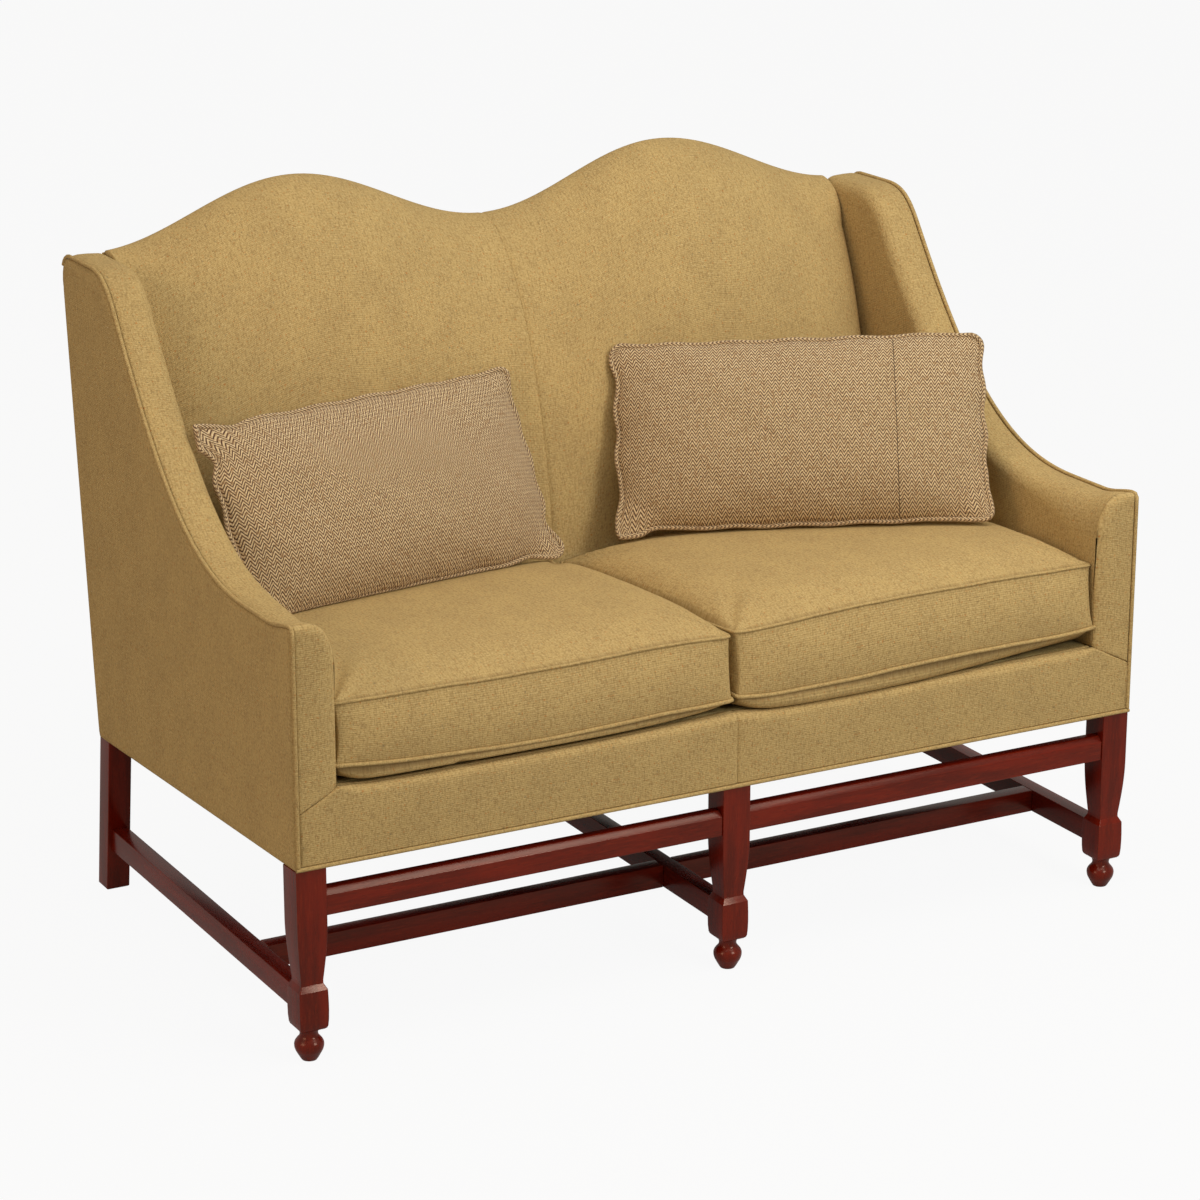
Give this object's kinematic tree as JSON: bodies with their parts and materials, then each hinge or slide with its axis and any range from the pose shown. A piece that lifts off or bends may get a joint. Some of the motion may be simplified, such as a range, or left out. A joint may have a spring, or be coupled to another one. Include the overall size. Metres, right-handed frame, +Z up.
{
  "type": "loveseat",
  "caption": "Wing-back loveseat with a double-hump back, scooped arms, loose boxed seat cushions, lumbar pillows and dark turned-foot legs joined by stretchers.",
  "frame": {"origin": "on the floor, under the middle of the whole loveseat", "axes": "+X to the right as seen from the front, -Y out of the front of the seat, +Z up"},
  "size_m": [1.372, 0.8176, 1.0636],
  "materials": {
    "show_wood": "dark mahogany stain, satin lacquer",
    "frame_wood": "sawn beech, no finish",
    "plated_steel": "zinc plated",
    "spring_steel": "oiled",
    "hessian": "plain open weave",
    "deck_felt": "platform cloth over felt",
    "webbing": "jute",
    "dust_cloth": "black non-woven cloth",
    "sofa_wool": "heathered plain wool weave, golden olive",
    "foam": "cut polyurethane foam",
    "zip_tape": "woven tape with a nylon coil",
    "zip_brass": "satin",
    "herringbone_tweed": "tan and brown herringbone tweed"
  },
  "bodies": {
    "frame": {"leg_front_left": "show_wood", "leg_front_middle": "show_wood", "leg_front_right": "show_wood", "leg_rear_left": "show_wood", "leg_rear_middle": "show_wood", "leg_rear_right": "show_wood", "side_stretcher_left": "show_wood", "side_stretcher_right": "show_wood", "centre_stretcher": "show_wood", "medial_stretcher_left": "show_wood", "medial_stretcher_right": "show_wood", "front_stretcher_left": "show_wood", "front_stretcher_right": "show_wood", "seat_rail_front": "frame_wood", "seat_rail_rear": "frame_wood", "seat_rail_left": "frame_wood", "seat_rail_right": "frame_wood", "seat_rail_centre": "frame_wood", "corner_blocks": "frame_wood", "frame_screws": "plated_steel", "frame_dowels": "frame_wood", "back_post_left": "frame_wood", "back_post_right": "frame_wood", "back_post_centre": "frame_wood", "back_top_rail": "frame_wood", "back_lower_rail": "frame_wood", "arm_post_left": "frame_wood", "arm_post_right": "frame_wood", "arm_rail_left": "frame_wood", "arm_rail_right": "frame_wood", "seat_springs": "spring_steel", "spring_clips": "plated_steel", "seat_hessian": "hessian", "seat_deck": "deck_felt", "back_webbing": "webbing", "dust_cover": "dust_cloth", "front_border_left": "sofa_wool", "front_border_right": "sofa_wool", "arm_front_left": "sofa_wool", "arm_front_right": "sofa_wool", "arm_pad_left": "sofa_wool", "arm_pad_right": "sofa_wool", "outside_arm_left": "sofa_wool", "outside_arm_right": "sofa_wool", "inside_back_left": "sofa_wool", "inside_back_right": "sofa_wool", "outside_back": "sofa_wool", "arm_welt_left": "sofa_wool", "arm_welt_right": "sofa_wool", "base_welt": "sofa_wool"},
    "seat_cushion_left": {"seat_cushion_left": "sofa_wool", "cushion_core_left": "foam", "zip_left": "zip_tape"},
    "seat_cushion_right": {"seat_cushion_right": "sofa_wool", "cushion_core_right": "foam", "zip_right": "zip_tape"},
    "zip_slider_left": {"zip_slider_left": "zip_brass"},
    "zip_slider_right": {"zip_slider_right": "zip_brass"},
    "pillow_left": {"pillow_left": "herringbone_tweed"},
    "pillow_right": {"pillow_right": "herringbone_tweed"}
  },
  "joints": [
    {"name": "seat_cushion_left_lift", "type": "slide", "parent": "frame", "child": "seat_cushion_left", "axis": [0, 0, 1], "range_m": [0, 0.24]},
    {"name": "seat_cushion_right_lift", "type": "slide", "parent": "frame", "child": "seat_cushion_right", "axis": [0, 0, 1], "range_m": [0, 0.24]},
    {"name": "pillow_left_lift", "type": "slide", "parent": "seat_cushion_left", "child": "pillow_left", "axis": [0, 0, 1], "range_m": [0, 0.3]},
    {"name": "pillow_right_lift", "type": "slide", "parent": "seat_cushion_right", "child": "pillow_right", "axis": [0, 0, 1], "range_m": [0, 0.3]},
    {"name": "zip_slider_left_run", "type": "slide", "parent": "seat_cushion_left", "child": "zip_slider_left", "axis": [-1, 0, 0], "range_m": [0, 0.43]},
    {"name": "zip_slider_right_run", "type": "slide", "parent": "seat_cushion_right", "child": "zip_slider_right", "axis": [1, 0, 0], "range_m": [0, 0.43]}
  ]
}
